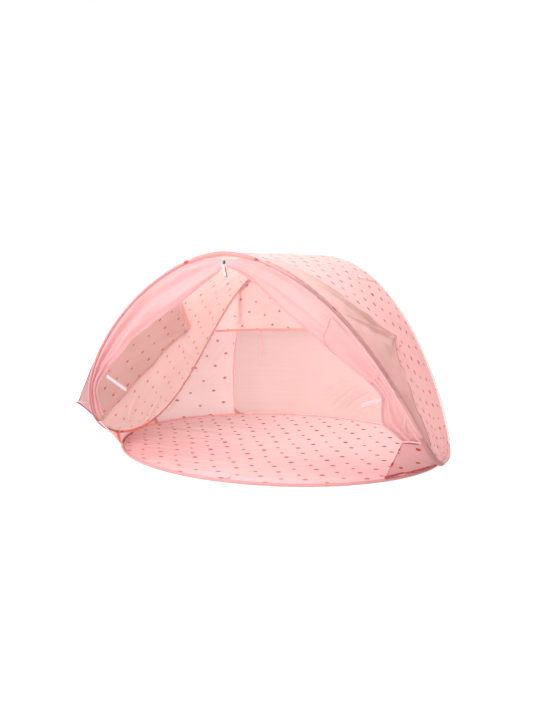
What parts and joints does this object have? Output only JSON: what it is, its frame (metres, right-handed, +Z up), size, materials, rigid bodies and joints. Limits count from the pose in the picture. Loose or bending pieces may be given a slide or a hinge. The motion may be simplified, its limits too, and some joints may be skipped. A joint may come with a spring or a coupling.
{
  "type": "pop-up baby tent",
  "caption": "Oval pop-up baby tent: spring-steel rings, dotted fabric shell, gathered mesh door curtains, folded-back door flaps, rear mesh window with cover, padded floor.",
  "frame": {"origin": "centre of the oval floor, at the underside of the ground sheet", "axes": "+X to the right of someone who looks in at the door, along the length; +Y from the door to the rear window; +Z up"},
  "size_m": [1.1236, 0.8572, 0.6399],
  "materials": {
    "dotted_fabric": "thin matte polyester printed with small rose dots",
    "plain_fabric": "thin matte plain pink polyester",
    "mesh_fabric": "fine sheer net",
    "mat_fabric": "thin padded mat, dotted",
    "binding": "woven rose tape",
    "ribbon": "pale pink satin ribbon",
    "spring_steel": "tempered round spring wire",
    "zip_metal": "dark enamelled die-cast zinc",
    "dark_plastic": "moulded",
    "tag": "blank woven tag"
  },
  "bodies": {
    "tent": {"floor_ring_wire": "spring_steel", "floor_ring_ferrule": "spring_steel", "arch_ring_wire": "spring_steel", "arch_ring_ferrule": "spring_steel", "floor_hem_front": "binding", "floor_hem_rear": "binding", "left_floor_hem_end": "binding", "right_floor_hem_end": "binding", "front_arch_sleeve": "binding", "rear_arch_sleeve": "binding", "left_foot_pocket": "plain_fabric", "right_foot_pocket": "plain_fabric", "left_side_wall": "dotted_fabric", "right_side_wall": "dotted_fabric", "ridge_tape": "dotted_fabric", "rear_upper_panel": "dotted_fabric", "rear_left_panel": "dotted_fabric", "rear_right_panel": "dotted_fabric", "rear_window_mesh": "mesh_fabric", "rear_window_binding": "binding", "rear_cover_button": "dark_plastic", "ground_sheet": "plain_fabric", "floor_mat": "mat_fabric", "floor_tab": "tag", "right_corner_gusset": "dotted_fabric", "left_corner_gusset": "plain_fabric", "front_top_panel": "plain_fabric", "apex_band": "binding", "right_mesh_curtain": "mesh_fabric", "left_mesh_curtain": "mesh_fabric", "right_zip_tape": "binding", "left_zip_tape": "binding", "right_flap_button": "dark_plastic", "left_flap_button": "dark_plastic", "left_flap_corner": "plain_fabric", "roof_tag": "tag"},
    "slider": {"zip_slider": "zip_metal"},
    "puller": {"zip_puller": "zip_metal"},
    "ribbon": {"zip_ribbon": "ribbon"},
    "right_flap": {"right_door_flap": "plain_fabric", "right_flap_loop": "ribbon"},
    "left_flap": {"left_door_flap": "plain_fabric", "left_flap_loop": "ribbon"},
    "rear_cover": {"rear_window_cover": "dotted_fabric", "rear_cover_loop": "ribbon"},
    "right_tie": {"right_curtain_tie": "ribbon"},
    "left_tie": {"left_curtain_tie": "ribbon"},
    "rear_strap": {"rear_window_strap": "ribbon"}
  },
  "joints": [
    {"name": "zip_slide", "type": "slide", "parent": "tent", "child": "slider", "axis": [0, 0, -1], "range_m": [0, 0.025]},
    {"name": "puller_hinge", "type": "hinge", "parent": "slider", "child": "puller", "pos_m": [0, -0.39575, 0.613], "axis": [-1, 0, 0], "range_deg": [0, 110]},
    {"name": "ribbon_hinge", "type": "hinge", "parent": "puller", "child": "ribbon", "pos_m": [0, -0.39575, 0.60365], "axis": [-1, 0, 0], "range_deg": [-15, 60]},
    {"name": "right_flap_hinge", "type": "hinge", "parent": "tent", "child": "right_flap", "pos_m": [0.3948, -0.37978, 0.39382], "axis": [0.6089, 0.0877, -0.7884], "range_deg": [0, 70]},
    {"name": "left_flap_hinge", "type": "hinge", "parent": "tent", "child": "left_flap", "pos_m": [-0.3948, -0.37978, 0.39382], "axis": [0.6089, -0.0877, 0.7884], "range_deg": [0, 70]},
    {"name": "rear_cover_hinge", "type": "hinge", "parent": "tent", "child": "rear_cover", "pos_m": [0, 0.3418, 0.342], "axis": [-1, 0, 0], "range_deg": [0, 150]},
    {"name": "right_tie_hinge", "type": "hinge", "parent": "tent", "child": "right_tie", "pos_m": [0.433, -0.36668, 0.255], "axis": [0, -1, 0], "range_deg": [-30, 85]},
    {"name": "left_tie_hinge", "type": "hinge", "parent": "tent", "child": "left_tie", "pos_m": [-0.407, -0.3723, 0.271], "axis": [0, 1, 0], "range_deg": [-30, 70]},
    {"name": "rear_strap_hinge", "type": "hinge", "parent": "tent", "child": "rear_strap", "pos_m": [-0.19, 0.32378, 0.34], "axis": [-1, 0, 0], "range_deg": [0, 80]}
  ]
}
